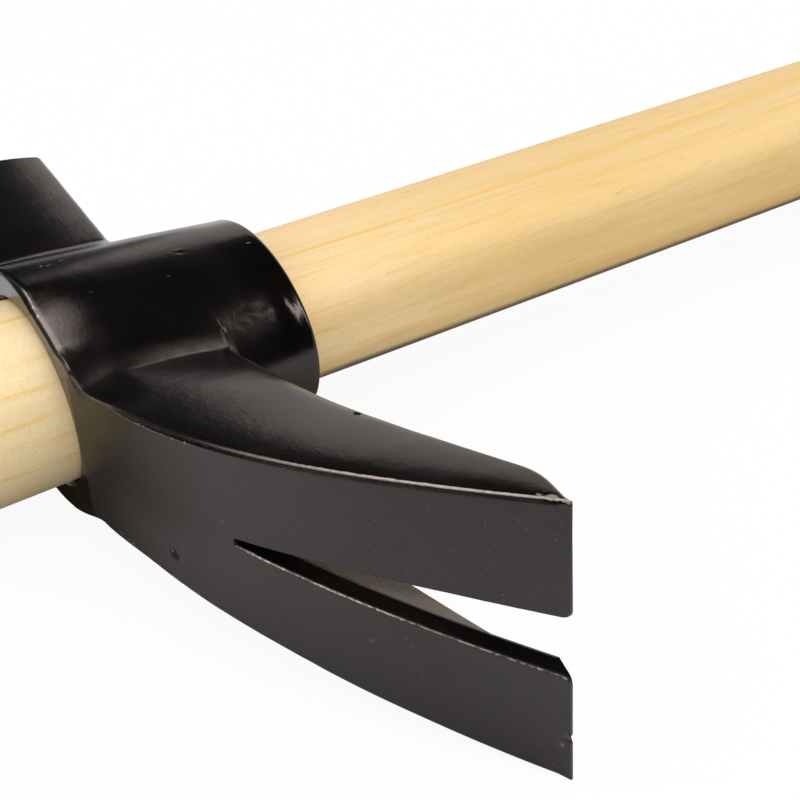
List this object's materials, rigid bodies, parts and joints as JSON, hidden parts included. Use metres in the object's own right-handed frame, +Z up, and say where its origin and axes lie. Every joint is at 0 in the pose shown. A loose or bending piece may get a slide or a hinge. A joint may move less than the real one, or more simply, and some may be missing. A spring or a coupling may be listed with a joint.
{
  "type": "carpenters hammer",
  "caption": "Carpenter's hammer: one-piece forged black head with square poll and curved, notched claw blade, on a slip-fit wooden handle.",
  "frame": {"origin": "middle of the handle's top end face, the end that stands out above the eye", "axes": "+X along the handle to its grip end, +Y out through the striking face of the poll, -Y along the claw, +Z across the width of the claw; the hammer lies on its side with +Z up"},
  "size_m": [0.36, 0.178, 0.0486],
  "materials": {
    "black_enamel": "semi-gloss black enamel over forged steel, with forging marks, pits and bright wear lines along its edges",
    "pale_wood": "smooth sanded pale wood with fine straight grain, satin"
  },
  "bodies": {
    "root": {"head": "black_enamel", "handle": "pale_wood"}
  },
  "joints": []
}
